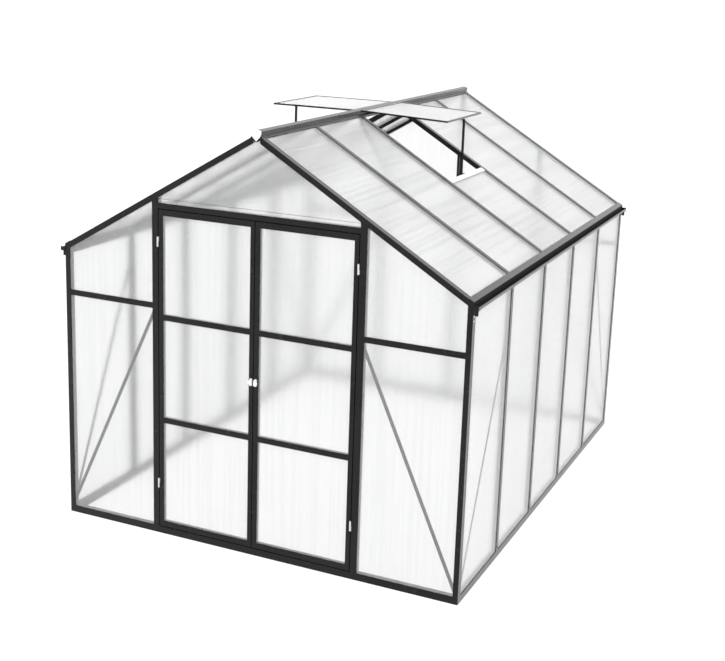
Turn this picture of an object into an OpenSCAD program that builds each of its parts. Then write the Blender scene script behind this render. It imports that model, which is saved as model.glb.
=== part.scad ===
// Walk-in greenhouse: dark aluminium bars, twin-wall panels, double door, two roof vents.
// Origin: middle of the front base rail's underside. +X right, +Y to the rear, +Z up.

/* [House] */
// Distance from one wall bar to the next along the length
bay = 620; // [500:10:800]
// Outside width over the side walls
house_w = 2500; // [2200:10:3200]
// Height where the roof surface meets the outside of a side wall
eave_h = 1660; // [1500:10:2000]
// Height where the two roof surfaces meet
ridge_h = 2400; // [2250:10:3000]

/* [Bars] */
// Depth of the wall bars, outside to inside
wall_d = 40; // [34:1:60]
// Depth of the roof bars, outside to inside
roof_d = 32; // [28:1:50]
// Width of a bar's outer cap
cap_w = 34; // [32:1:46]
// Thickness of every cap and flange
cap_t = 3; // [2:0.5:4]
// Width of a bar's body behind the panels
body_w = 16; // [14:1:20]
// Width of the neck that joins cap and body
neck_w = 8; // [5:0.5:10]
// Height of the base rails
base_h = 40; // [34:1:80]
// Width of a corner post on the gable side
corner_w = 30; // [26:1:40]
// Height of the gable cross rails
rail_h = 30; // [28:1:40]
// Height of the middle of the gable cross rails
rail_z = 1376; // [1200:1:1390]

/* [Panels] */
// Thickness of the twin-wall panels
panel_t = 6; // [4:0.5:8]
// How far a panel edge reaches into a groove
bite = 11; // [8:0.5:11]
// Play between a panel and its groove
play = 0.3; // [0.2:0.05:0.4]

/* [Doorway] */
// Clear width between the door posts
door_clear = 1234; // [1000:2:1400]
// Width of a door post
post_w = 38; // [34:1:50]
// Height of the top of the door header
header_top = 1967; // [1800:1:2020]
// Height of the header
header_h = 30; // [28:1:40]
// Gap round each door leaf
leaf_gap = 5; // [5:0.5:8]
// Gap between the two leaves
meeting_gap = 8; // [7:0.5:12]
// Width of the stile on the hinge side
hinge_stile = 26; // [24:1:36]
// Width of the stile where the two leaves meet
meeting_stile = 25; // [24:1:40]
// Height of a leaf's top and bottom rails
leaf_rail = 33; // [28:1:45]
// Height of a leaf's two cross bars
leaf_bar = 31; // [28:1:40]
// Heights of the middles of the two cross bars
lower_bar_z = 702; // [600:1:800]
upper_bar_z = 1314; // [1200:1:1400]
// Depth of a leaf's frame
leaf_d = 30; // [24:1:36]

/* [Hinges and handles] */
// Outer radius of a hinge knuckle
knuckle_r = 5; // [4.5:0.25:8]
// Radius of a hinge pin
pin_r = 2.5; // [2:0.25:3.5]
// Running clearance round a hinge pin
pin_play = 0.05; // [0.02:0.01:0.1]
// Height of a whole hinge
hinge_h = 56; // [44:1:90]
// Heights of the middles of the lower and upper hinges
lower_hinge_z = 315; // [200:1:500]
upper_hinge_z = 1750; // [1500:1:1800]
// Height of the middle of the door handles
handle_z = 1030; // [850:1:1200]
// Height of a handle's plate
handle_h = 46; // [40:1:90]

/* [Roof vents] */
// Length of a vent, from ridge to free edge
vent_l = 562; // [450:2:580]
// Degrees by which each open vent hangs below level
vent_droop_left = 0; // [0:0.2:4]
vent_droop_right = 2.4; // [0:0.2:4]
// Distance down the slope from the ridge line to the middle of a vent's sill
sill_s = 724; // [700:2:900]
// Height of a vent's edge channel
edge_h = 10; // [9:0.5:14]
// Width of a vent's edge channel
edge_w = 12; // [10:0.5:20]
// Width of a stay bar
stay_w = 14; // [10:1:25]

/* [Gutters] */
// Width of a gutter outside the wall
gutter_w = 28; // [24:1:60]
// Depth of a gutter's floor below the eave
gutter_d = 36; // [30:1:44]
// Height of a gutter's outer lip
gutter_lip = 15; // [8:1:24]
// Outer radius of a gutter outlet
outlet_r = 9; // [7:0.5:10]
// Length of a gutter outlet
outlet_h = 34; // [20:1:80]

/* [Hidden] */

bays = 5;                                   // bays along each side
gable_bays = 4;                             // bays across the rear gable
eps = 1;                                    // overlap of cutting shapes
half_w = house_w / 2;
house_l = bays * bay;                       // between the middles of the gable walls
front_y = -wall_d / 2;                      // outer faces of the gables
rear_y = house_l + wall_d / 2;
pitch = atan2(ridge_h - eave_h, half_w);
slope_l = half_w / cos(pitch);
groove_t = panel_t + 2 * play;              // width of a groove for a panel
groove_in = bite + 1;                       // depth of a groove
body_z = cap_t + groove_t;                  // depth below the cap at which a bar's body starts
post_out = door_clear / 2 + post_w;         // outer side of a door post
gable_step = (house_w - wall_d) / gable_bays;
ridge_half = 22;                            // half width of the ridge beam's body
crest_half = 26;                            // half width of the ridge beam's crest
crest_h = 22;                               // height of the crest over the roof
sill_d = roof_d - 6;                        // depth of a vent's sill
ridge_flange = 42;                          // cover of the ridge flange down each slope
eave_flange = 32;                           // cover of the gutter flange up each slope
eave_body_h = 50;                           // height of the eave beam below the eave line
brace_w = 20;
brace_t = 3;
gutter_t = 2;
ridge_keel = 10;                            // how far the ridge beam's underside slopes down to its middle
hinge_x = door_clear / 2 - leaf_gap / 2;    // hinge axes, between post and leaf
hinge_y = front_y - knuckle_r - 1;
hinge_foot = 3.5;                           // width of a hinge's foot on the post or leaf
leaf_bottom = base_h + leaf_gap;
leaf_top = header_top - header_h - leaf_gap;
leaf_outer = door_clear / 2 - leaf_gap;
leaf_inner = meeting_gap / 2;
vent_y0 = 2 * bay + 10;                     // vents fill the middle bay
vent_y1 = 3 * bay - 10;
vent_z = ridge_h + 4;                       // underside of a level vent
vent_out = crest_half + vent_l;             // free edge of a level vent
stay_y = (vent_y0 + vent_y1) / 2;
stay_x = vent_out - edge_w;                 // inner face of a stay, under the edge channel

dark = [0.13, 0.13, 0.14];
pale = [0.9, 0.9, 0.9];
sheet = [0.93, 0.95, 0.96, 0.5];
silver = [0.78, 0.79, 0.8];

// Height of the roof surface at a distance x from the middle
function roof_z(x) = ridge_h - abs(x) * tan(pitch);
// The same, d below the surface, measured square to it
function under_roof(x, d) = roof_z(x) - d / cos(pitch);

// Lowest line of the ridge beam
ridge_base = under_roof(0, roof_d) - 6;

// Children modelled on the right are copied to both sides
module both_sides() {
    children();
    mirror([1, 0, 0]) children();
}
// Children modelled at the front gable are copied to the rear gable
module both_gables() {
    children();
    at_rear() children();
}
module at_rear() {
    translate([0, house_l, 0]) mirror([0, 1, 0]) children();
}
// Local frame of the right slope: x down the slope, y along the house, z out of the roof
module on_slope() {
    translate([0, 0, ridge_h]) rotate([0, pitch, 0]) children();
}
// A shape drawn in x and z, run along y
module along_y(y0, y1) {
    translate([0, y1, 0]) rotate([90, 0, 0]) linear_extrude(y1 - y0) children();
}
// Box between two corners
module block(a, b) {
    translate(a) cube(b - a);
}

// Section of a glazing bar: x across, y out of the wall, with the cap's face at y = 0
module bar_section(cap, depth) {
    translate([-cap / 2, -cap_t]) square([cap, cap_t]);
    translate([-neck_w / 2, -body_z - 0.5]) square([neck_w, groove_t + 1]);
    translate([-body_w / 2, -depth]) square([body_w, depth - body_z]);
}
// Area of the front gable between x0 and x1, above z0 and d below the roof surface
module gable_area(x0, x1, z0, d) {
    polygon(x0 < 0 && x1 > 0
        ? [[x0, z0], [x1, z0], [x1, under_roof(x1, d)], [0, under_roof(0, d)], [x0, under_roof(x0, d)]]
        : [[x0, z0], [x1, z0], [x1, under_roof(x1, d)], [x0, under_roof(x0, d)]]);
}
// Groove for a gable panel, as a box in x and z
module gable_groove(x0, x1, z0, z1) {
    block([x0, front_y + cap_t, z0], [x1, front_y + body_z, z1]);
}

// ---- Base rails ----
module gable_base(grooves) {
    color(dark) difference() {
        block([-half_w, front_y, 0], [half_w, -front_y, base_h]);
        for (g = grooves) gable_groove(g[0], g[1], base_h - groove_in, base_h + eps);
        both_sides() block([half_w - body_z, -front_y - groove_in, base_h - groove_in],
                           [half_w - cap_t, -front_y + eps, base_h + eps]);
    }
}
module base_rail_front() {
    out = half_w - corner_w + groove_in;
    gable_base([[-out, -post_out + groove_in], [post_out - groove_in, out]]);
}
module base_rail_rear() {
    out = half_w - corner_w + groove_in;
    at_rear() gable_base([[-out, out]]);
}
module base_rail_right() {
    color(dark) difference() {
        block([half_w - wall_d, -front_y, 0], [half_w, house_l + front_y, base_h]);
        block([half_w - body_z, -front_y - eps, base_h - groove_in],
              [half_w - cap_t, house_l + front_y + eps, base_h + eps]);
    }
}
module base_rail_left() {
    mirror([1, 0, 0]) base_rail_right();
}

// ---- Posts and studs ----
module corner_post() {
    color(dark) difference() {
        along_y(front_y, -front_y) gable_area(half_w - corner_w, half_w, base_h, roof_d);
        gable_groove(half_w - corner_w - eps, half_w - corner_w + groove_in, base_h - eps, ridge_h);
        block([half_w - body_z, -front_y - groove_in, base_h - eps], [half_w - cap_t, -front_y + eps, ridge_h]);
    }
}
module corner_post_front_right() { corner_post(); }
module corner_post_front_left() { mirror([1, 0, 0]) corner_post(); }
module corner_post_rear_right() { at_rear() corner_post(); }
module corner_post_rear_left() { at_rear() mirror([1, 0, 0]) corner_post(); }

module door_post_right() {
    color(dark) difference() {
        along_y(front_y, -front_y) gable_area(door_clear / 2, post_out, base_h, roof_d);
        gable_groove(post_out - groove_in, post_out + eps, base_h - eps, ridge_h);
        gable_groove(door_clear / 2 - eps, door_clear / 2 + groove_in, header_top - groove_in, ridge_h);
    }
}
module door_post_left() {
    mirror([1, 0, 0]) door_post_right();
}
module door_header() {
    color(dark) difference() {
        block([-door_clear / 2, front_y, header_top - header_h], [door_clear / 2, -front_y, header_top]);
        gable_groove(-door_clear / 2 - eps, door_clear / 2 + eps, header_top - groove_in, header_top + eps);
    }
}
// Upright glazing bar in the rear gable, cut to the slope of the rafters
module rear_stud(x) {
    intersection() {
        translate([x, rear_y, base_h]) linear_extrude(ridge_h) bar_section(cap_w, wall_d);
        along_y(rear_y - wall_d - eps, rear_y + eps) difference() {
            gable_area(-half_w, half_w, 0, roof_d);
            ridge_room(0);
        }
    }
}
module rear_studs() {
    color(dark) for (i = [1 : gable_bays - 1]) rear_stud((i - gable_bays / 2) * gable_step);
}
// Upright glazing bars of the right wall
module wall_studs_right() {
    top = eave_h - eave_body_h;
    color(dark) for (i = [1 : bays - 1])
        translate([half_w, i * bay, base_h]) rotate([0, 0, -90]) difference() {
            linear_extrude(top - base_h) bar_section(cap_w, wall_d);
            translate([-cap_w, -cap_t, top - base_h - groove_in]) cube([2 * cap_w, 2 * cap_t, base_h]);
        }
}
module wall_studs_left() {
    mirror([1, 0, 0]) wall_studs_right();
}

// ---- Cross rails of the gables ----
// A rail between two uprights at x0 and x1: bodies meet the uprights' bodies, caps their caps
module cross_rail(x0, x1, cap0, cap1, body0, body1) {
    block([x0 + cap0, front_y, rail_z - rail_h / 2], [x1 - cap1, front_y + cap_t, rail_z + rail_h / 2]);
    block([x0 + cap0, front_y + cap_t - eps, rail_z - neck_w / 2],
          [x1 - cap1, front_y + body_z + eps, rail_z + neck_w / 2]);
    block([x0 + body0, front_y + body_z, rail_z - body_w / 2],
          [x1 - body1, -front_y, rail_z + body_w / 2]);
}
module front_rails() {
    color(dark) both_sides() cross_rail(post_out, half_w - corner_w, 0, 0, 0, 0);
}
module rear_rails() {
    mid = gable_step;
    color(dark) at_rear() both_sides() {
        cross_rail(0, mid, cap_w / 2, cap_w / 2, body_w / 2, body_w / 2);
        cross_rail(mid, half_w - corner_w, cap_w / 2, 0, body_w / 2, 0);
    }
}

// ---- Roof bars ----
// Gable rafter of the front right, with a groove for the roof panel and one for the gable panels
module gable_rafter() {
    difference() {
        along_y(front_y, -front_y) polygon([
            [ridge_half, roof_z(ridge_half)], [half_w, roof_z(half_w)],
            [half_w, under_roof(half_w, roof_d)], [ridge_half, under_roof(ridge_half, roof_d)]]);
        on_slope() block([-bay, -front_y - groove_in, -body_z], [slope_l + bay, -front_y + eps, -cap_t]);
        on_slope() block([-bay, front_y + cap_t, -roof_d - eps],
                         [slope_l + bay, front_y + body_z, -roof_d + groove_in]);
    }
}
module rafters_front() { color(dark) both_sides() gable_rafter(); }
module rafters_rear() { color(dark) at_rear() both_sides() gable_rafter(); }

// Cap and neck run over the eave beam, the body stops at its inner face
module roof_bar() {
    intersection() {
        on_slope() rotate([90, 0, 90]) linear_extrude(slope_l + bay) bar_section(cap_w, roof_d);
        along_y(-bay, bay) union() {
            polygon([[ridge_half, 0], [half_w - wall_d, 0], [half_w - wall_d, ridge_h], [ridge_half, ridge_h]]);
            polygon([[ridge_half, under_roof(ridge_half, body_z)], [half_w, under_roof(half_w, body_z)],
                     [half_w, ridge_h], [ridge_half, ridge_h]]);
        }
    }
}
module roof_bars_right() {
    color(dark) for (i = [1 : bays - 1]) translate([0, i * bay, 0]) roof_bar();
}
module roof_bars_left() {
    mirror([1, 0, 0]) roof_bars_right();
}

// ---- Ridge ----
module ridge_section() {
    flange_x = ridge_flange * cos(pitch);
    lift = cap_t / cos(pitch);
    polygon([
        [0, ridge_base], [ridge_half, ridge_base + ridge_keel], [ridge_half, roof_z(ridge_half)],
        [flange_x, roof_z(flange_x)], [flange_x, roof_z(flange_x) + lift],
        [ridge_half, roof_z(ridge_half) + lift],
        [crest_half, ridge_h + crest_h - 8], [0, ridge_h + crest_h],
        [-crest_half, ridge_h + crest_h - 8], [-ridge_half, roof_z(ridge_half) + lift],
        [-flange_x, roof_z(flange_x) + lift], [-flange_x, roof_z(flange_x)],
        [-ridge_half, roof_z(ridge_half)], [-ridge_half, ridge_base + ridge_keel]]);
}
// Room for the ridge beam in what stands below it, with a gap all round
module ridge_room(gap) {
    out = ridge_half + gap;
    polygon([[0, ridge_base - gap], [out, ridge_base + ridge_keel - gap], [out, 2 * ridge_h],
             [-out, 2 * ridge_h], [-out, ridge_base + ridge_keel - gap]]);
}
module ridge_beam() {
    color(dark) along_y(front_y, rear_y) ridge_section();
}
// Moulded caps that close the ridge beam's two ends
module ridge_caps() {
    base = under_roof(0, roof_d);
    color(pale) both_gables() along_y(front_y - 6, front_y) polygon([
        [0, base], [ridge_half, roof_z(ridge_half) - 2], [crest_half + 3, ridge_h + 4],
        [crest_half + 2, ridge_h + crest_h - 5], [0, ridge_h + crest_h + 3],
        [-crest_half - 2, ridge_h + crest_h - 5], [-crest_half - 3, ridge_h + 4],
        [-ridge_half, roof_z(ridge_half) - 2]]);
}

// ---- Eaves and gutters ----
module eave_beam_right() {
    in_x = half_w - wall_d;
    low = eave_h - eave_body_h;
    color(dark) along_y(-front_y, house_l + front_y) {
        polygon([[in_x, low], [half_w, low], [half_w, under_roof(half_w, body_z)],
                 [in_x, under_roof(in_x, body_z)]]);
        translate([half_w - cap_t, low - groove_in]) square([cap_t, groove_in + eps]);
    }
}
module eave_beam_left() { mirror([1, 0, 0]) eave_beam_right(); }

// Roof flange, back wall, floor, front wall and lip in one section
module gutter_right() {
    up = eave_flange * cos(pitch);
    lift = cap_t / cos(pitch);
    floor_z = eave_h - gutter_d;
    out = half_w + gutter_w;
    color(dark) along_y(front_y, rear_y) {
        polygon([[half_w - up, roof_z(half_w - up)], [half_w, eave_h], [half_w, floor_z],
                 [half_w + gutter_t, floor_z], [half_w + gutter_t, eave_h + lift - gutter_t * tan(pitch)],
                 [half_w - up, roof_z(half_w - up) + lift]]);
        translate([half_w, floor_z]) square([gutter_w, gutter_t]);
        translate([out - gutter_t, floor_z]) square([gutter_t, gutter_lip]);
        translate([out - gutter_t, floor_z + gutter_lip - gutter_t]) square([gutter_t + 3, gutter_t]);
    }
}
module gutter_left() { mirror([1, 0, 0]) gutter_right(); }

// End plate and outlet at each end of each gutter
module gutter_outlet() {
    floor_z = eave_h - gutter_d;
    plate_t = 4;
    out = half_w + gutter_w + 1;
    color(dark) difference() {
        union() {
            block([half_w, front_y - plate_t, floor_z - plate_t], [out, front_y, floor_z + gutter_lip + 5]);
            block([half_w, front_y - plate_t, floor_z - plate_t],
                  [out, front_y + 2 * outlet_r + 8, floor_z]);
            block([half_w, front_y, floor_z - outlet_h + plate_t],
                  [half_w + plate_t, front_y + 2 * outlet_r + 8, floor_z]);
            translate([half_w + gutter_w / 2, front_y + outlet_r + 4, floor_z - outlet_h])
                cylinder(r = outlet_r, h = outlet_h - plate_t + eps, $fn = 48);
        }
        translate([half_w + gutter_w / 2, front_y + outlet_r + 4, floor_z - outlet_h - eps])
            cylinder(r = outlet_r - 2, h = outlet_h - plate_t, $fn = 48);
    }
}
module gutter_outlets() { both_gables() both_sides() gutter_outlet(); }

// ---- Panels ----
// A gable panel between x0 and x1, from z0 to z1 or up to the rafters
module gable_panel(x0, x1, z0, z1) {
    along_y(front_y + cap_t + play, front_y + cap_t + play + panel_t) intersection() {
        difference() {
            gable_area(x0, x1, z0, roof_d - bite);
            ridge_room(play);
        }
        translate([x0, z0]) square([x1 - x0, z1 - z0]);
    }
}
module front_panels() {
    out = half_w - corner_w + bite;
    inner = post_out - bite;
    color(sheet) {
        both_sides() {
            gable_panel(inner, out, base_h - bite, rail_z - neck_w / 2 - play);
            gable_panel(inner, out, rail_z + neck_w / 2 + play, ridge_h);
        }
        gable_panel(-door_clear / 2 - bite, door_clear / 2 + bite, header_top - bite, ridge_h);
    }
}
module rear_panels() {
    side = neck_w / 2 + play;
    color(sheet) at_rear() both_sides()
        for (x = [[side, gable_step - side], [gable_step + side, half_w - corner_w + bite]]) {
            gable_panel(x[0], x[1], base_h - bite, rail_z - neck_w / 2 - play);
            gable_panel(x[0], x[1], rail_z + neck_w / 2 + play, ridge_h);
        }
}
// Start and end of the panel in bay i, between two bar necks or in a gable groove
function bay_start(i) = i == 0 ? -front_y - bite : i * bay + neck_w / 2 + play;
function bay_end(i) = i == bays - 1 ? house_l + front_y + bite : (i + 1) * bay - neck_w / 2 - play;

module wall_panels_right() {
    color(sheet) for (i = [0 : bays - 1])
        block([half_w - cap_t - play - panel_t, bay_start(i), base_h - bite],
              [half_w - cap_t - play, bay_end(i), eave_h - eave_body_h - play]);
}
module wall_panels_left() { mirror([1, 0, 0]) wall_panels_right(); }

module roof_panels_right() {
    top = (ridge_half + play) / cos(pitch) + (cap_t + play + panel_t) * tan(pitch);
    end = slope_l - 4 * play - (body_z) * tan(pitch);
    color(sheet) on_slope() for (i = [0 : bays - 1]) {
        middle = i == floor(bays / 2);
        block([middle ? sill_s + cap_w / 2 - bite : top, bay_start(i), -cap_t - play - panel_t],
              [end, bay_end(i), -cap_t - play]);
    }
}
module roof_panels_left() { mirror([1, 0, 0]) roof_panels_right(); }

// ---- Roof vents, propped open ----
module vent_sill() {
    y0 = 2 * bay + body_w / 2;
    y1 = 3 * bay - body_w / 2;
    n0 = 2 * bay + cap_w / 2;
    n1 = 3 * bay - cap_w / 2;
    on_slope() difference() {
        union() {
            block([sill_s - cap_w / 2, n0, -sill_d], [sill_s + cap_w / 2, n1, 0]);
            block([sill_s - cap_w / 2, y0, -sill_d], [sill_s + cap_w / 2, y1, -body_z]);
        }
        block([sill_s + cap_w / 2 - groove_in, n0 - bay, -body_z], [sill_s + cap_w, n1 + bay, -cap_t]);
    }
}
module vent_sills() { color(pale) both_sides() vent_sill(); }

// A vent modelled level hangs by its droop about the crest of the ridge
module hung(droop) {
    translate([crest_half, 0, vent_z]) rotate([0, droop, 0]) children();
}
// Edge channel round the pane
module vent_frame(droop) {
    x0 = play;
    y0 = vent_y0 + edge_w;
    y1 = vent_y1 - edge_w;
    lip = edge_w - 8;
    gap = (edge_h - groove_t) / 2;
    color(dark) hung(droop) difference() {
        block([x0, vent_y0, 0], [vent_l, vent_y1, edge_h]);
        block([x0 + edge_w, y0, -eps], [vent_l - edge_w, y1, edge_h + eps]);
        block([x0 + lip, vent_y0 + lip, gap], [vent_l - lip, vent_y1 - lip, edge_h - gap]);
    }
}
module vent_frame_right() { vent_frame(vent_droop_right); }
module vent_frame_left() { mirror([1, 0, 0]) vent_frame(vent_droop_left); }

module vent_pane(droop) {
    lip = edge_w - 7;
    gap = (edge_h - panel_t) / 2;
    color(sheet) hung(droop)
        block([play + lip, vent_y0 + lip, gap], [vent_l - lip, vent_y1 - lip, gap + panel_t]);
}
module vent_pane_right() { vent_pane(vent_droop_right); }
module vent_pane_left() { mirror([1, 0, 0]) vent_pane(vent_droop_left); }

// Flat stay from the vent's edge channel down to a foot on the sill's inner face
module vent_stay(droop) {
    s0 = sill_s - cap_w / 2;
    top_x = s0 * cos(pitch);
    low_x = top_x - sill_d * sin(pitch);
    low_z = under_roof(top_x, 0) - sill_d * cos(pitch);
    under = vent_z - (stay_x - crest_half) * tan(droop);
    along_y(stay_y - stay_w / 2, stay_y + stay_w / 2) {
        polygon([[stay_x, low_z - 12], [stay_x + brace_t, low_z - 12],
                 [stay_x + brace_t, under - brace_t * tan(droop)], [stay_x, under]]);
        polygon([[stay_x, low_z], [low_x, low_z], [top_x, roof_z(top_x)], [stay_x, roof_z(top_x)]]);
    }
}
module vent_stays() {
    color(dark) {
        vent_stay(vent_droop_right);
        mirror([1, 0, 0]) vent_stay(vent_droop_left);
    }
}

// ---- Braces ----
// Flat bar from (x0, z0) to (x1, z1), cut square by the uprights on both sides
module brace_outline(x0, z0, x1, z1) {
    a = atan2(z1 - z0, x1 - x0);
    intersection() {
        translate([x0, z0]) rotate(a)
            translate([-bay, -brace_w / 2]) square([bay * 5, brace_w]);
        translate([min(x0, x1), min(z0, z1) - brace_w]) square([abs(x1 - x0), abs(z1 - z0) + 2 * brace_w]);
    }
}
module gable_braces() {
    y0 = front_y + body_z;
    low = base_h + 2 * brace_w;
    high = rail_z - body_w / 2 - 2 * brace_w;
    color(dark) both_sides() {
        along_y(y0, y0 + brace_t)
            brace_outline(half_w - corner_w, low, post_out, high);
        at_rear() along_y(y0, y0 + brace_t)
            brace_outline(half_w - corner_w, low, gable_step + body_w / 2, high);
    }
}
module side_braces() {
    low = base_h + 2 * brace_w;
    high = 1430;
    color(dark) both_sides() both_gables()
        translate([half_w - body_z - brace_t, 0, 0]) rotate([90, 0, 90]) linear_extrude(brace_t)
            brace_outline(-front_y, low, bay - body_w / 2, high);
}

// ---- Hinges ----
// Fixed half: a plate on the door post, the lower knuckle and the pin
module hinge_fixed(z) {
    half = hinge_h / 2;
    translate([hinge_x, hinge_y, z - half]) {
        cylinder(r = knuckle_r, h = half - 0.5, $fn = 48);
        cylinder(r = pin_r, h = hinge_h - 4, $fn = 48);
        block([0, 0, 0], [leaf_gap / 2 + hinge_foot, front_y - hinge_y, half - 0.5]);
    }
}
module hinge_pins() {
    color(silver) both_sides() for (z = [lower_hinge_z, upper_hinge_z]) hinge_fixed(z);
}
// Moving half: the upper knuckle, bored for the pin, on a plate on the leaf
module hinge_moving(z) {
    half = hinge_h / 2;
    translate([hinge_x, hinge_y, z]) difference() {
        union() {
            cylinder(r = knuckle_r, h = half, $fn = 48);
            block([-leaf_gap / 2 - hinge_foot, 0, 0], [0, front_y - hinge_y, half]);
        }
        translate([0, 0, -eps]) cylinder(r = pin_r + pin_play, h = half - 2 + eps, $fn = 48);
    }
}

// ---- Door leaves ----
// Bottom and top of the three panes of a leaf
pane_heights = [
    [leaf_bottom + leaf_rail, lower_bar_z - leaf_bar / 2],
    [lower_bar_z + leaf_bar / 2, upper_bar_z - leaf_bar / 2],
    [upper_bar_z + leaf_bar / 2, leaf_top - leaf_rail]];

// Right leaf's frame: stiles, rails and two cross bars, grooved for the panes
module door_frame_right() {
    y1 = front_y + leaf_d;
    x0 = leaf_inner + meeting_stile;
    x1 = leaf_outer - hinge_stile;
    color(dark) difference() {
        block([leaf_inner, front_y, leaf_bottom], [leaf_outer, y1, leaf_top]);
        for (h = pane_heights) {
            block([x0, front_y - eps, h[0]], [x1, y1 + eps, h[1]]);
            block([x0 - groove_in, front_y + cap_t, h[0] - groove_in],
                  [x1 + groove_in, front_y + body_z, h[1] + groove_in]);
        }
    }
}
module door_frame_left() { mirror([1, 0, 0]) door_frame_right(); }

module door_panes_right() {
    y0 = front_y + cap_t + play;
    x0 = leaf_inner + meeting_stile - bite;
    x1 = leaf_outer - hinge_stile + bite;
    for (h = pane_heights)
        color(sheet) block([x0, y0, h[0] - bite], [x1, y0 + panel_t, h[1] + bite]);
}
module door_panes_left() { mirror([1, 0, 0]) door_panes_right(); }

// Handle, a plate with a short pointed grip that looks away from the meeting line
module door_handle() {
    x0 = leaf_inner + 3;
    plate_w = 15;
    plate_t = 4;
    grip = 14;
    block([x0, front_y - plate_t, handle_z - handle_h / 2], [x0 + plate_w, front_y, handle_z + handle_h / 2]);
    translate([x0 + plate_w / 2, front_y - plate_t + eps, handle_z]) rotate([90, 0, 0])
        cylinder(r = 6, h = grip, $fn = 48);
    translate([0, front_y - plate_t - grip + eps, handle_z]) rotate([90, 0, 0]) linear_extrude(6)
        polygon([[x0 + 1, -16], [x0 + 12, -16], [x0 + 12, -5], [x0 + 20, -4], [x0 + 24, 0],
                 [x0 + 20, 4], [x0 + 12, 5], [x0 + 12, 16], [x0 + 1, 16]]);
}
// What the right leaf carries in bright metal: its handle and its halves of the hinges
module door_fittings_right() {
    color(silver) {
        door_handle();
        for (z = [lower_hinge_z, upper_hinge_z]) hinge_moving(z);
    }
}
module door_fittings_left() { mirror([1, 0, 0]) door_fittings_right(); }

base_rail_front();
base_rail_rear();
base_rail_left();
base_rail_right();
corner_post_front_left();
corner_post_front_right();
corner_post_rear_left();
corner_post_rear_right();
door_post_left();
door_post_right();
door_header();
front_rails();
rear_studs();
rear_rails();
wall_studs_left();
wall_studs_right();
rafters_front();
rafters_rear();
roof_bars_left();
roof_bars_right();
ridge_beam();
ridge_caps();
eave_beam_left();
eave_beam_right();
gutter_left();
gutter_right();
gutter_outlets();
front_panels();
rear_panels();
wall_panels_left();
wall_panels_right();
roof_panels_left();
roof_panels_right();
vent_sills();
vent_frame_left();
vent_frame_right();
vent_pane_left();
vent_pane_right();
vent_stays();
gable_braces();
side_braces();
hinge_pins();
door_frame_left();
door_frame_right();
door_panes_left();
door_panes_right();
door_fittings_left();
door_fittings_right();
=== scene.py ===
import math

import bmesh
import bpy
from mathutils import Matrix, Vector


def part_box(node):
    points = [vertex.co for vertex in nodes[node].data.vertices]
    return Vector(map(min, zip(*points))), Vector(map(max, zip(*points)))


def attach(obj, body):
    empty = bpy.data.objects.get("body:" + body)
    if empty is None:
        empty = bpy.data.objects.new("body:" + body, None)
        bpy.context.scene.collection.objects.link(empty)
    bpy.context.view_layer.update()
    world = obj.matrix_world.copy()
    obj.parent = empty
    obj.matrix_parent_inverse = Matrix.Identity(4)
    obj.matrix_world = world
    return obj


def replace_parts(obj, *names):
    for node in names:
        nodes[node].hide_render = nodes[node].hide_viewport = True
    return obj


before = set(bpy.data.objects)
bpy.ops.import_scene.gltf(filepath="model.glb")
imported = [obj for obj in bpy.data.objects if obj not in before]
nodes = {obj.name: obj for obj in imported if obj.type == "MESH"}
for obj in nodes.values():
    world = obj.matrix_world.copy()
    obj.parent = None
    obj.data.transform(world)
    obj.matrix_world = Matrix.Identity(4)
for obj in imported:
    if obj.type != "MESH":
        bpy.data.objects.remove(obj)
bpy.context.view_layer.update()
scene = bpy.context.scene
print("frame loaded,", len(nodes), "nodes")

# Lines of the house, read from its own bars
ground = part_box("base_rail_front")
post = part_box("door_post_right")
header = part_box("door_header")
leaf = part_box("door_frame_right")
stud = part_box("wall_studs_right")
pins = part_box("hinge_pins")
halfWidth = ground[1].x
frontFace = ground[0].y
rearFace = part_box("base_rail_rear")[1].y
bayCount = 5
bay = (rearFace + frontFace) / bayCount  # both faces stand equally far out from the bay lines
capThick = 0.003

# The right roof slope: its angle, its outward direction, and the height where its caps would meet
roofMesh = nodes["roof_panels_right"].data
roofFace = max((face for face in roofMesh.polygons if face.normal.z > 0), key=lambda face: face.area)
slope = math.atan2(roofFace.normal.x, roofFace.normal.z)
slopeOut = (math.sin(slope), 0, math.cos(slope))
roofPoint = roofMesh.vertices[roofFace.vertices[0]].co
apex = (roofFace.normal.dot(roofPoint) + capThick) / roofFace.normal.z


def newMaterial(name):
    mat = bpy.data.materials.new(name)
    mat.use_nodes = True
    tree = mat.node_tree
    tree.nodes.clear()
    out = tree.nodes.new("ShaderNodeOutputMaterial")
    return mat, tree, out


# Values are the node's own settings, or else its sockets, with _ for a space
def addNode(tree, kind, **values):
    node = tree.nodes.new(kind)
    for key, value in values.items():
        if hasattr(node, key):
            setattr(node, key, value)
        else:
            node.inputs[key.replace("_", " ")].default_value = value
    return node


def mathNode(tree, operation, *values):
    node = addNode(tree, "ShaderNodeMath", operation=operation)
    for socket, value in zip(node.inputs, values):
        if isinstance(value, (int, float)):
            socket.default_value = value
        else:
            tree.links.new(value, socket)
    return node.outputs[0]


# Low where the source is 0, high where it is 1
def between(tree, source, low, high):
    return mathNode(tree, "MULTIPLY_ADD", source, high - low, low)


# The share, a number or a socket, is how much of the second shader shows
def mixShaders(tree, share, first, second):
    node = addNode(tree, "ShaderNodeMixShader")
    if isinstance(share, float):
        node.inputs[0].default_value = share
    else:
        tree.links.new(share, node.inputs[0])
    tree.links.new(first.outputs[0], node.inputs[1])
    tree.links.new(second.outputs[0], node.inputs[2])
    return node


def objectPlace(tree):
    return addNode(tree, "ShaderNodeTexCoord").outputs["Object"]


def splitPlace(tree, place):
    node = addNode(tree, "ShaderNodeSeparateXYZ")
    tree.links.new(place, node.inputs[0])
    return node.outputs


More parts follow.
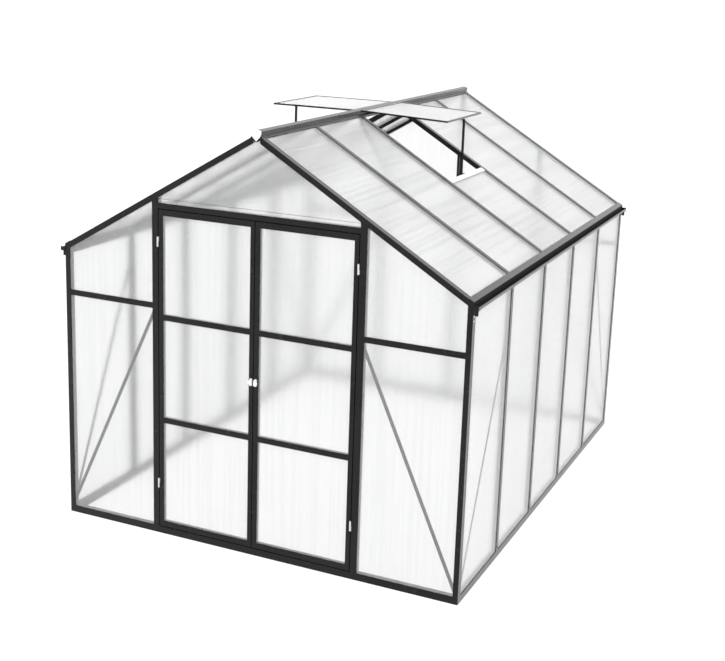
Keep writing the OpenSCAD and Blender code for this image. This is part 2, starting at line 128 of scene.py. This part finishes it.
def noiseAt(tree, place, scale, detail=3.0):
    node = addNode(tree, "ShaderNodeTexNoise", Scale=scale, Detail=detail)
    tree.links.new(place, node.inputs["Vector"])
    return node.outputs["Fac"]


def ramp(tree, source, stops):
    node = addNode(tree, "ShaderNodeValToRGB")
    for element, (at, colour) in zip(node.color_ramp.elements, stops):
        element.position = at
        element.color = (*colour, 1.0)
    tree.links.new(source, node.inputs[0])
    return node.outputs[0]


def bump(tree, height, distance):
    node = addNode(tree, "ShaderNodeBump", Strength=1.0, Distance=distance)
    tree.links.new(height, node.inputs["Height"])
    return node.outputs["Normal"]


powderCoat = {
    "dark": (0.0065, 0.0065, 0.007),
    "light": (0.011, 0.011, 0.0115),
    "cloudScale": 3.0,
    "headOnGloss": (0.3, 0.3, 0.3),
    "roughLow": 0.25,
    "roughHigh": 0.29,
    "roughScale": 9.0,
    "dullness": 0.5,
    "grain": 900.0,
    "grainDepth": 0.000004,
    "glazeShare": 0.2,
    "glazeRough": 0.2,
    "glazeBlend": 0.74,
    "glazePower": 4.0,
}


# Between two distances from the middle line the coat is dull, as in a gutter's channel
def makePowderCoat(name, dullFrom=0.0, dullTo=0.0):
    v = powderCoat
    mat, tree, out = newMaterial(name)
    place = objectPlace(tree)
    shader = addNode(tree, "ShaderNodeBsdfPrincipled")
    shader.inputs["Specular Tint"].default_value = (*v["headOnGloss"], 1.0)
    cloud = noiseAt(tree, place, v["cloudScale"])
    colour = ramp(tree, cloud, [(0.3, v["dark"]), (0.7, v["light"])])
    tree.links.new(colour, shader.inputs["Base Color"])
    rough = between(tree, noiseAt(tree, place, v["roughScale"]), v["roughLow"], v["roughHigh"])
    away = mathNode(tree, "ABSOLUTE", splitPlace(tree, place)["X"])
    inward = mathNode(tree, "LESS_THAN", away, dullFrom)
    outward = mathNode(tree, "GREATER_THAN", away, dullTo)
    fresh = mathNode(tree, "MAXIMUM", inward, outward)
    dull = between(tree, fresh, v["dullness"], 0.0)
    tree.links.new(mathNode(tree, "ADD", rough, dull), shader.inputs["Roughness"])
    skin = bump(tree, noiseAt(tree, place, v["grain"], 2.0), v["grainDepth"])
    tree.links.new(skin, shader.inputs["Normal"])
    # The coat's skin brightens at a low glance
    glaze = addNode(tree, "ShaderNodeBsdfAnisotropic", Roughness=v["glazeRough"])
    facing = addNode(tree, "ShaderNodeLayerWeight", Blend=v["glazeBlend"]).outputs["Facing"]
    share = mathNode(tree, "MULTIPLY", mathNode(tree, "POWER", facing, v["glazePower"]), v["glazeShare"])
    body = mixShaders(tree, mathNode(tree, "MULTIPLY", share, fresh), shader, glaze)
    tree.links.new(body.outputs[0], out.inputs[0])
    return mat


twinWall = {
    "tint": (0.982, 0.984, 0.984),
    # Painted shade: grey streak colours for the bars seen through the sheets; the roof's also holds the
    # channels' own grey lines
    "wallPaintedShadeStreak": (0.95, 0.953, 0.953),
    "roofRibAndPaintedShadeStreak": (0.86, 0.865, 0.865),
    "ribAndShadeStreakScale": 48.0,
    "ribAndShadeStreakSqueeze": 0.012,  # the smaller, the longer the streaks
    "channelPitch": 0.0105,
    "channelDepth": 0.00001,
    "rough": 0.14,
    "bending": 1.45,
    "haze": 0.17,
    "hazeColour": (0.975, 0.98, 0.98),
    "shadowTint": (0.96, 0.965, 0.965),
}


# The channels run along one axis; across holds the shares of X, Y and Z that count over them
def makeTwinWall(name, across, along, ribAndPaintedShadeStreak):
    v = twinWall
    mat, tree, out = newMaterial(name)
    split = splitPlace(tree, objectPlace(tree))
    u = 0.0
    for axis, share in zip("XYZ", across):
        if share:
            u = mathNode(tree, "ADD", mathNode(tree, "MULTIPLY", split[axis], share), u)
    wave = mathNode(tree, "SINE", mathNode(tree, "MULTIPLY", u, 2 * math.pi / v["channelPitch"]))
    # Painted shade: long uneven grey streaks along the channels stand in for the dark bars behind the
    # sheet, drawn out by the channels; on the roof they also give the channels' own grey lines
    ribAndShadeStreakPlace = addNode(tree, "ShaderNodeCombineXYZ")
    tree.links.new(u, ribAndShadeStreakPlace.inputs[0])
    tree.links.new(mathNode(tree, "MULTIPLY", split[along], v["ribAndShadeStreakSqueeze"]), ribAndShadeStreakPlace.inputs[1])
    ribAndShadeStreakLines = noiseAt(tree, ribAndShadeStreakPlace.outputs[0], v["ribAndShadeStreakScale"], 4.0)
    # The sheet's tint greys towards the painted shade streak colour along the streaks
    tint = ramp(tree, ribAndShadeStreakLines, [(0.46, v["tint"]), (0.57, v[ribAndPaintedShadeStreak])])
    glass = addNode(tree, "ShaderNodeBsdfPrincipled", Roughness=v["rough"], IOR=v["bending"])
    glass.inputs["Transmission Weight"].default_value = 1.0
    tree.links.new(tint, glass.inputs["Base Color"])
    tree.links.new(bump(tree, wave, v["channelDepth"]), glass.inputs["Normal"])
    # A little haze, half of it thrown back and half let through
    back = addNode(tree, "ShaderNodeBsdfDiffuse", Color=(*v["hazeColour"], 1.0))
    through = addNode(tree, "ShaderNodeBsdfTranslucent", Color=(*v["hazeColour"], 1.0))
    body = mixShaders(tree, v["haze"], glass, mixShaders(tree, 0.5, back, through))
    # Light passes straight through, so that the sheets cast no dark shadow
    clear = addNode(tree, "ShaderNodeBsdfTransparent", Color=(*v["shadowTint"], 1.0))
    shadow = addNode(tree, "ShaderNodeLightPath").outputs["Is Shadow Ray"]
    tree.links.new(mixShaders(tree, shadow, body, clear).outputs[0], out.inputs[0])
    return mat


mouldedWhite = {
    "base": (0.82, 0.82, 0.81),
    "shade": (0.76, 0.76, 0.75),
    "cloudScale": 12.0,
    "rough": 0.42,
    "grain": 700.0,
    "grainDepth": 0.00003,
}


def makeMouldedWhite():
    v = mouldedWhite
    mat, tree, out = newMaterial("mouldedWhite")
    place = objectPlace(tree)
    shader = addNode(tree, "ShaderNodeBsdfPrincipled", Roughness=v["rough"])
    cloud = noiseAt(tree, place, v["cloudScale"])
    colour = ramp(tree, cloud, [(0.35, v["shade"]), (0.65, v["base"])])
    tree.links.new(colour, shader.inputs["Base Color"])
    skin = bump(tree, noiseAt(tree, place, v["grain"]), v["grainDepth"])
    tree.links.new(skin, shader.inputs["Normal"])
    tree.links.new(shader.outputs[0], out.inputs[0])
    return mat


brightMetal = {
    "base": (0.86, 0.86, 0.87),
    "shade": (0.72, 0.72, 0.74),
    "metallic": 0.85,
    "grain": 160.0,
    "roughLow": 0.28,
    "roughHigh": 0.48,
}


def makeBrightMetal():
    v = brightMetal
    mat, tree, out = newMaterial("zincPlate")
    shader = addNode(tree, "ShaderNodeBsdfPrincipled", Metallic=v["metallic"])
    grain = noiseAt(tree, objectPlace(tree), v["grain"])
    colour = ramp(tree, grain, [(0.3, v["shade"]), (0.7, v["base"])])
    tree.links.new(colour, shader.inputs["Base Color"])
    rough = between(tree, grain, v["roughLow"], v["roughHigh"])
    tree.links.new(rough, shader.inputs["Roughness"])
    tree.links.new(shader.outputs[0], out.inputs[0])
    return mat


sealRubber = {
    "base": (0.012, 0.012, 0.012),
    "shade": (0.02, 0.02, 0.02),
    "cloudScale": 60.0,
    "rough": 0.7,
    "gloss": 0.2,
}


def makeSealRubber():
    v = sealRubber
    mat, tree, out = newMaterial("sealRubber")
    shader = addNode(tree, "ShaderNodeBsdfPrincipled", Roughness=v["rough"])
    shader.inputs["Specular IOR Level"].default_value = v["gloss"]
    cloud = noiseAt(tree, objectPlace(tree), v["cloudScale"])
    colour = ramp(tree, cloud, [(0.3, v["base"]), (0.7, v["shade"])])
    tree.links.new(colour, shader.inputs["Base Color"])
    tree.links.new(shader.outputs[0], out.inputs[0])
    return mat


# The gutter's back wall and front lip, between which its channel is dull
gutterSection = {"backWall": 0.0014, "lip": 0.0035}
channelStart = halfWidth + gutterSection["backWall"]
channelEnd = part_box("gutter_right")[1].x - gutterSection["lip"]

coat = makePowderCoat("powderCoatedAluminium")
gutterCoat = makePowderCoat("powderCoatedGutter", channelStart, channelEnd)
# The last argument picks each sheet's painted shade streak colour
wallSheet = makeTwinWall("twinWallUpright", (1, 1, 0), "Z", "wallPaintedShadeStreak")
roofSheet = makeTwinWall("twinWallRoof", (0, 0, 1 / math.sin(slope)), "Y", "roofRibAndPaintedShadeStreak")
ventSheet = makeTwinWall("twinWallVent", (1, 0, 0), "Y", "wallPaintedShadeStreak")
white = makeMouldedWhite()
metal = makeBrightMetal()
rubber = makeSealRubber()


def finishFor(name):
    if "pane" in name:
        return ventSheet if "vent" in name else roofSheet if "roof" in name else wallSheet
    if name in ("ridge_caps", "vent_sills"):
        return white
    if name == "hinge_pins" or "fittings" in name:
        return metal
    return gutterCoat if name in ("gutter_left", "gutter_right") else coat


for name, node in nodes.items():
    for place in node.material_slots:
        place.material = finishFor(name)
print("finishes set")


def newPiece(name, body, mat, build, bevel=0.0):
    mesh = bpy.data.meshes.new(name)
    bm = bmesh.new()
    build(bm)
    bmesh.ops.recalc_face_normals(bm, faces=bm.faces)
    bm.to_mesh(mesh)
    bm.free()
    mesh.materials.append(mat)
    piece = bpy.data.objects.new(name, mesh)
    scene.collection.objects.link(piece)
    if bevel:
        edge = piece.modifiers.new("roundedEdges", "BEVEL")
        edge.width = bevel
        edge.segments = 2
        edge.limit_method = "ANGLE"
    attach(piece, body)
    return piece


def frameFor(axis):
    axis = Vector(axis).normalized()
    side = axis.orthogonal().normalized()
    return side, axis.cross(side), axis


# Turns (radius, height) points round an axis; a radius of 0 closes an end
def turnedInto(bm, profile, centre, axis, segments=20):
    side, other, along = frameFor(axis)
    turns = [2 * math.pi * k / segments for k in range(segments)]
    spokes = [side * math.cos(a) + other * math.sin(a) for a in turns]
    rings = []
    for radius, height in profile:
        middle = Vector(centre) + along * height
        if radius == 0:
            rings.append([bm.verts.new(middle)])
        else:
            rings.append([bm.verts.new(middle + spoke * radius) for spoke in spokes])
    for low, high in zip(rings, rings[1:]):
        for k in range(segments):
            after = (k + 1) % segments
            corners = [low[k % len(low)], low[after % len(low)]]
            corners += [high[after % len(high)], high[k % len(high)]]
            unique = list(dict.fromkeys(corners))
            if len(unique) > 2:
                bm.faces.new(unique)


# Runs a closed section, points of (aside, out), between two places
def sectionInto(bm, section, start, end, aside, out):
    aside, out = Vector(aside), Vector(out)
    offsets = [aside * a + out * o for a, o in section]
    near = [bm.verts.new(Vector(start) + offset) for offset in offsets]
    far = [bm.verts.new(Vector(end) + offset) for offset in offsets]
    count = len(section)
    for k in range(count):
        after = (k + 1) % count
        bm.faces.new([near[k], near[after], far[after], far[k]])
    bm.faces.new(near)
    bm.faces.new(list(reversed(far)))


def blockInto(bm, low, high):
    low, high = Vector(low), Vector(high)
    width, height = high.x - low.x, high.z - low.z
    section = [(0, 0), (width, 0), (width, height), (0, height)]
    sectionInto(bm, section, low, (low.x, high.y, low.z), (1, 0, 0), (0, 0, 1))


# Moves a flat outline inward by a distance, with mitred corners
def inset(corners, normal, distance):
    result = []
    count = len(corners)
    for k, corner in enumerate(corners):
        before = (corner - corners[k - 1]).normalized()
        after = (corners[(k + 1) % count] - corner).normalized()
        inA, inB = normal.cross(before), normal.cross(after)
        result.append(corner + (inA + inB) * (distance / (1 + inA.dot(inB))))
    return result


# Outer outline of each sheet in a node, seen from the side that out points to
def sheetOutlines(name, out):
    joined = bmesh.new()
    joined.from_mesh(nodes[name].data)
    bmesh.ops.remove_doubles(joined, verts=joined.verts, dist=0.00002)
    out = Vector(out).normalized()
    side, other, _ = frameFor(out)
    left = set(joined.verts)
    outlines = []
    while left:
        sheet, fresh = set(), [next(iter(left))]
        while fresh:
            vert = fresh.pop()
            if vert in sheet:
                continue
            sheet.add(vert)
            fresh += [edge.other_vert(vert) for edge in vert.link_edges]
        left -= sheet
        top = max(vert.co.dot(out) for vert in sheet)
        face = [vert.co.copy() for vert in sheet if vert.co.dot(out) > top - 0.0005]
        middle = sum(face, Vector()) / len(face)
        face.sort(key=lambda point: math.atan2((point - middle).dot(other), (point - middle).dot(side)))
        outlines.append(face)
    joined.free()
    outlines.sort(key=lambda face: tuple(round(c, 4) for c in min(face, key=lambda point: tuple(point))))
    return outlines


bead = {
    "cover": 0.011,
    "width": 0.0015,
    "height": 0.0014,
    "section": [(0.0, 0.0002), (0.0, 1.0), (0.55, 0.85), (0.9, 0.5), (1.0, 0.0002)],  # in shares
    "ridgeRoom": 0.02,
    "ridgeDrop": 0.05,
}
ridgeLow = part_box("ridge_beam")[0].z - bead["ridgeDrop"]


# A rubber bead lies round each sheet, against the caps of the bars
def beadsInto(bm, name, out):
    v = bead
    normal = Vector(out).normalized()
    for outline in sheetOutlines(name, out):
        outline = [point for point in outline if abs(point.x) > v["ridgeRoom"] or point.z < ridgeLow]
        edge = inset(outline, normal, v["cover"])
        rings = []
        for a, o in v["section"]:
            lift = normal * (o * v["height"])
            rings.append([bm.verts.new(point + lift) for point in inset(edge, normal, a * v["width"])])
        count = len(edge)
        for k, ring in enumerate(rings):
            following = rings[(k + 1) % len(rings)]
            for c in range(count):
                after = (c + 1) % count
                bm.faces.new([ring[c], ring[after], following[after], following[c]])


slopeLeftOut = (-slopeOut[0], 0, slopeOut[2])
beadPlaces = {
    "frontBeads": ("house", [("front_panels", (0, -1, 0))]),
    "rearBeads": ("house", [("rear_panels", (0, 1, 0))]),
    "sideBeads": ("house", [("wall_panels_left", (-1, 0, 0)), ("wall_panels_right", (1, 0, 0))]),
    "roofBeads": ("house", [("roof_panels_left", slopeLeftOut), ("roof_panels_right", slopeOut)]),
    "leftDoorBeads": ("left_door", [("door_panes_left", (0, -1, 0))]),
    "rightDoorBeads": ("right_door", [("door_panes_right", (0, -1, 0))]),
}
for name, (body, sheets) in beadPlaces.items():
    def build(bm):
        for sheet, out in sheets:
            beadsInto(bm, sheet, out)
    newPiece(name, body, rubber, build)
print("beads laid")

doorSeal = {
    "stopWidth": 0.013,
    "stopStart": 0.0112,
    "stopDepth": 0.005,
    "meetWidth": 0.0062,
    "meetStart": 0.004,
    "meetDepth": 0.012,
    "meetTrim": 0.002,
}


# Stops on the frame lie behind the leaves; a seal on the right leaf closes the gap between them
def makeDoorSeals():
    v = doorSeal
    opening = post[0].x
    edge = opening - v["stopWidth"]
    base, top = ground[1].z, header[0].z
    near, far = v["stopStart"], v["stopStart"] + v["stopDepth"]

    def stops(bm):
        for side in (-1, 1):
            inner, outer = sorted((side * opening, side * edge))
            blockInto(bm, (inner, near, base), (outer, far, top))
        blockInto(bm, (-edge, near, base), (edge, far, base + v["stopWidth"]))
        blockInto(bm, (-edge, near, top - v["stopWidth"]), (edge, far, top))

    newPiece("doorStops", "house", coat, stops, 0.0006)

    def brush(bm):
        start, end = leaf[0].x - v["meetWidth"], leaf[0].x
        front = frontFace + v["meetStart"]
        low, high = leaf[0].z + v["meetTrim"], leaf[1].z - v["meetTrim"]
        blockInto(bm, (start, front, low), (end, front + v["meetDepth"], high))

    newPiece("meetingSeal", "right_door", rubber, brush, 0.0008)


makeDoorSeals()
print("door seals set")

screw = {
    "radius": 0.0042,
    "height": 0.0024,
    "boltRadius": 0.0055,
    "boltHeight": 0.004,
    "studFoot": 0.065,
    "studDrop": 0.03,
    "postIn": 0.019,
    "baseLow": 0.02,
    "baseHigh": 0.07,
    "headerDrop": 0.015,
    "headerRise": 0.02,
    "cornerIn": 0.015,
    "cornerDrop": 0.05,
    "rafterEnd": 0.07,
    "rafterDrop": 0.016,
    "eaveIn": 0.012,
    "eaveDrops": (0.024, 0.05),
    "eaveSize": 1.25,
    "boltFoot": 0.075,
    "boltDrops": (0.04, 0.012),
    "headerBoltAside": 0.5,
}
studTop = stud[1].z
headerScrew = header[1].z - screw["headerDrop"]
wallLine = [bay * k for k in range(1, bayCount)]
gables = ((frontFace, -1), (rearFace, 1))


# A domed head with a recess for the driver
def screwInto(bm, place, out, size=1.0):
    r, h = screw["radius"] * size, screw["height"] * size
    head = [(r, 0), (r, 0.3 * h), (0.86 * r, 0.75 * h), (0.6 * r, h)]
    recess = [(0.4 * r, h), (0.36 * r, 0.4 * h), (0, 0.35 * h)]
    turnedInto(bm, head + recess, place, out)


# A washer with a six-sided nut on it
def boltInto(bm, place, out):
    r, h = screw["boltRadius"], screw["boltHeight"]
    turnedInto(bm, [(1.5 * r, 0), (1.5 * r, 0.25 * h), (0.9 * r, 0.3 * h)], place, out, 28)
    turnedInto(bm, [(r, 0.28 * h), (r, h), (0.86 * r, 1.15 * h), (0, 1.15 * h)], place, out, 6)


def mirrored(places):
    return places + [((-x, y, z), (-a, b, c)) for (x, y, z), (a, b, c) in places]


# Places and directions of the screws that are painted with the frame
def paintedPlaces():
    v = screw
    studHeights = (v["studFoot"], studTop - v["studDrop"])
    places = mirrored([((halfWidth, y, z), (1, 0, 0)) for y in wallLine for z in studHeights])
    postLine = post[0].x + v["postIn"]
    postHeights = (v["baseLow"], headerScrew, header[1].z + v["headerRise"])
    for x in (postLine, -postLine):
        places += [((x, frontFace, z), (0, -1, 0)) for z in postHeights]
    corner = halfWidth - v["cornerIn"]
    cornerHeights = (v["baseLow"], v["baseHigh"], studTop - v["cornerDrop"])
    for y, out in gables:
        places += mirrored([((corner, y, z), (0, out, 0)) for z in cornerHeights])
    along = Vector((math.cos(slope), 0, -math.sin(slope)))
    start = Vector((0, 0, apex)) - Vector(slopeOut) * v["rafterDrop"]
    length = halfWidth / math.cos(slope)
    for run in (v["rafterEnd"], length / 2, length - v["rafterEnd"]):
        place = start + along * run
        places += mirrored([((place.x, y, place.z), (0, out, 0)) for y, out in gables])
    return places


def makeScrews():
    v = screw

    def paintedScrews(bm):
        for place, out in paintedPlaces():
            screwInto(bm, place, out)

    newPiece("paintedScrews", "house", coat, paintedScrews)
    ends = (frontFace + v["eaveIn"], rearFace - v["eaveIn"])
    heights = [studTop - drop for drop in v["eaveDrops"]]
    bright = mirrored([((halfWidth, y, z), (1, 0, 0)) for y in ends for z in heights])

    def brightScrews(bm):
        for place, out in bright:
            screwInto(bm, place, out, v["eaveSize"])

    newPiece("eaveScrews", "house", metal, brightScrews)
    heights = [v["boltFoot"]] + [studTop - drop for drop in v["boltDrops"]]
    bolts = mirrored([((stud[0].x, y, z), (-1, 0, 0)) for y in wallLine for z in heights])
    for x in (-v["headerBoltAside"], v["headerBoltAside"]):
        bolts.append(((x, -frontFace, headerScrew), (0, 1, 0)))

    def insideBolts(bm):
        for place, out in bolts:
            boltInto(bm, place, out)

    newPiece("insideBolts", "house", metal, insideBolts)


makeScrews()
print("screws set")

stayFlange = {"reach": 0.012, "thick": 0.002, "overlap": 0.0002, "below": 0.012, "above": 0.006}


# Each stay is a small channel, whose two flanges point outward under the vent's edge
def makeStayFlanges():
    v = stayFlange
    corners = [vert.co for vert in nodes["vent_stays"].data.vertices]

    def flanges(bm):
        for side in (-1, 1):
            own = [corner for corner in corners if side * corner.x > 0]
            start = min(abs(corner.x) for corner in own)
            low = min(corner.z for corner in own) + v["below"]
            high = max(corner.z for corner in own) - v["above"]
            front, back = min(corner.y for corner in own), max(corner.y for corner in own)
            inner, outer = sorted((side * (start + v["overlap"]), side * (start + v["reach"])))
            for y in (front, back - v["thick"]):
                blockInto(bm, (inner, y, low), (outer, y + v["thick"], high))

    newPiece("stayFlanges", "house", coat, flanges, 0.0004)


makeStayFlanges()
print("stays folded")

handle = {
    "start": 0.003,
    "height": 1.03,
    "plateWidth": 0.015,
    "plateHeight": 0.042,
    "plateDepth": 0.004,
    "plateCut": 0.004,
    "neck": 0.006,
    "reach": 0.006,
    "gripDepth": 0.006,
    "gripSink": 0.0005,
    "keyDrop": 0.0192,
    "overlap": 0.0002,
}


# Plate, neck, pointed grip and keyhole of one leaf's handle; side is -1 on the left leaf
def makeHandle(name, body, side):
    v = handle
    first = leaf[0].x + v["start"]
    middle = first + v["plateWidth"] / 2
    plateFace = frontFace - v["plateDepth"]
    height = v["height"]

    def runInto(bm, section, start, end):
        places = [(side * first, y, height) for y in (start, end)]
        sectionInto(bm, section, *places, (side, 0, 0), (0, 0, 1))

    def build(bm):
        half, cut, width, neck = v["plateHeight"] / 2, v["plateCut"], v["plateWidth"], v["neck"]
        lowEdge = [(0, -half + cut), (cut, -half), (width - cut, -half), (width, -half + cut)]
        runInto(bm, lowEdge + [(a, -o) for a, o in reversed(lowEdge)], plateFace, frontFace)
        foot = [(neck * 1.35, 0), (neck * 1.35, 0.002), (neck, 0.0035), (neck, v["reach"]), (0, v["reach"])]
        turnedInto(bm, foot, (side * middle, plateFace + v["overlap"], height), (0, -1, 0), 28)
        head = [(0.024, 0), (0.0235, 0.0015), (0.02, 0.004), (0.013, 0.0052)]
        stem = [(0.012, 0.0065), (0.012, 0.0145), (0.0105, 0.016), (0.0025, 0.016), (0.001, 0.0145)]
        upper = head + stem
        back = plateFace - v["reach"] + v["gripSink"]
        runInto(bm, [(a, -o) for a, o in reversed(upper[1:])] + upper, back - v["gripDepth"], back)
        keyRing = [(0.0028, 0), (0.0028, 0.0012), (0.0022, 0.0016)]
        keySlot = [(0.0009, 0.0016), (0.0008, 0.0004), (0, 0.0004)]
        keyPlace = (side * middle, plateFace, height - v["keyDrop"])
        turnedInto(bm, keyRing + keySlot, keyPlace, (0, -1, 0), 24)

    return newPiece(name, body, white, build, 0.0009)


hinge = {
    "height": 0.056,
    "radius": 0.005,
    "inset": 0.0025,
    "standOff": 0.006,
    "plateReach": 0.006,
    "pinShort": 0.004,
}


# The leaf's own half of each hinge: the upper knuckle, and its plate on the leaf
def makeHinges(name, body, side):
    v = hinge
    x = post[0].x - v["inset"]
    y = frontFace - v["standOff"]
    half = v["height"] / 2
    r = v["radius"]
    lowEnd = [(0, 0.0002), (r * 0.9, 0.0002), (r, 0.0009)]
    highEnd = [(r, half - 0.002), (r * 0.75, half - 0.0003), (0, half)]

    def knuckles(bm):
        for middle in (pins[0].z + half, pins[1].z - half + v["pinShort"]):
            turnedInto(bm, lowEnd + highEnd, (side * x, y, middle), (0, 0, 1), 28)
            inner, outer = sorted((side * (x - v["plateReach"]), side * x))
            blockInto(bm, (inner, y, middle), (outer, frontFace, middle + half))

    return newPiece(name, body, metal, knuckles)


for word, side in (("left", -1), ("right", 1)):
    body = word + "_door"
    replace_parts(makeHandle(word + "Handle", body, side), "door_fittings_" + word)
    makeHinges(word + "HingeHalves", body, side)
print("handles and hinges made")

stage = {
    "floorSize": 400.0,
    "floorDrop": 0.0005,
    "floorColour": (0.9, 0.9, 0.9),
    "floorGlow": 1.13,
    "glowShare": 0.75,
    "skyLight": 1.45,
    "backLight": 1.17,
    "keyPlace": (-4.0, -5.0, 7.0),
    "keyAim": (0.0, 1.5, 1.0),
    "keyPower": 220.0,
    "keySize": 5.0,
}


# 1 where something is looked at, straight, mirrored or through a sheet; 0 where it lights a surface
def seenRay(tree):
    rays = addNode(tree, "ShaderNodeLightPath").outputs
    bent = mathNode(tree, "MAXIMUM", rays["Is Glossy Ray"], rays["Is Transmission Ray"])
    return mathNode(tree, "MAXIMUM", rays["Is Camera Ray"], bent)


def makeFloor():
    v = stage
    half = v["floorSize"] / 2
    mesh = bpy.data.meshes.new("floor")
    corners = [(-half, -half, 0), (half, -half, 0), (half, half, 0), (-half, half, 0)]
    mesh.from_pydata(corners, [], [(0, 1, 2, 3)])
    floor = bpy.data.objects.new("floor", mesh)
    scene.collection.objects.link(floor)
    floor.location.z = -v["floorDrop"]
    mat, tree, out = newMaterial("paleFloor")
    matt = addNode(tree, "ShaderNodeBsdfDiffuse", Color=(*v["floorColour"], 1.0))
    glow = addNode(tree, "ShaderNodeEmission", Strength=v["floorGlow"])
    share = mathNode(tree, "MULTIPLY", seenRay(tree), v["glowShare"])
    tree.links.new(mixShaders(tree, share, matt, glow).outputs[0], out.inputs[0])
    mesh.materials.append(mat)


def makeWorld():
    v = stage
    world = bpy.data.worlds.new("studio")
    scene.world = world
    world.use_nodes = True
    tree = world.node_tree
    tree.nodes.clear()
    out = tree.nodes.new("ShaderNodeOutputWorld")
    back = addNode(tree, "ShaderNodeBackground")
    back.inputs["Color"].default_value = (1, 1, 1, 1)
    strength = between(tree, seenRay(tree), v["skyLight"], v["backLight"])
    tree.links.new(strength, back.inputs["Strength"])
    tree.links.new(back.outputs[0], out.inputs[0])


def makeKeyLight():
    v = stage
    key = bpy.data.lights.new("key", "AREA")
    key.size = v["keySize"]
    key.energy = v["keyPower"]
    lamp = bpy.data.objects.new("key", key)
    scene.collection.objects.link(lamp)
    lamp.location = v["keyPlace"]
    lamp.rotation_euler = (Vector(v["keyAim"]) - lamp.location).to_track_quat("-Z", "Y").to_euler()


# Angles in degrees; the place and the far limit in metres
view = {
    "place": (3.2577, -5.8668, 3.2941),
    "left": 24.162,
    "down": 13.573,
    "roll": 1.907,
    "lens": 63.35,
    "sensor": 36,
    "shift": -0.083,
    "far": 600,
}


def makeCamera():
    v = view
    left, down, roll = (math.radians(v[key]) for key in ("left", "down", "roll"))
    forward = Vector((-math.sin(left) * math.cos(down), math.cos(left) * math.cos(down), -math.sin(down)))
    right = Vector((math.cos(left), math.sin(left), 0))
    up = right.cross(forward)
    leanRight = right * math.cos(roll) + up * math.sin(roll)
    leanUp = up * math.cos(roll) - right * math.sin(roll)
    camera = bpy.data.cameras.new("camera")
    camera.lens = v["lens"]
    camera.sensor_width = v["sensor"]
    camera.shift_y = v["shift"]
    camera.clip_end = v["far"]
    eye = bpy.data.objects.new("camera", camera)
    turn = Matrix((leanRight, leanUp, -forward)).transposed().to_4x4()
    eye.matrix_world = Matrix.Translation(v["place"]) @ turn
    scene.collection.objects.link(eye)
    scene.camera = eye


makeFloor()
makeWorld()
makeKeyLight()
makeCamera()
bounces = {"all": 24, "throughSheets": 24, "mirrored": 16}
scene.view_settings.view_transform = "Standard"
scene.cycles.max_bounces = bounces["all"]
scene.cycles.transmission_bounces = bounces["throughSheets"]
scene.cycles.glossy_bounces = bounces["mirrored"]
print("stage set")
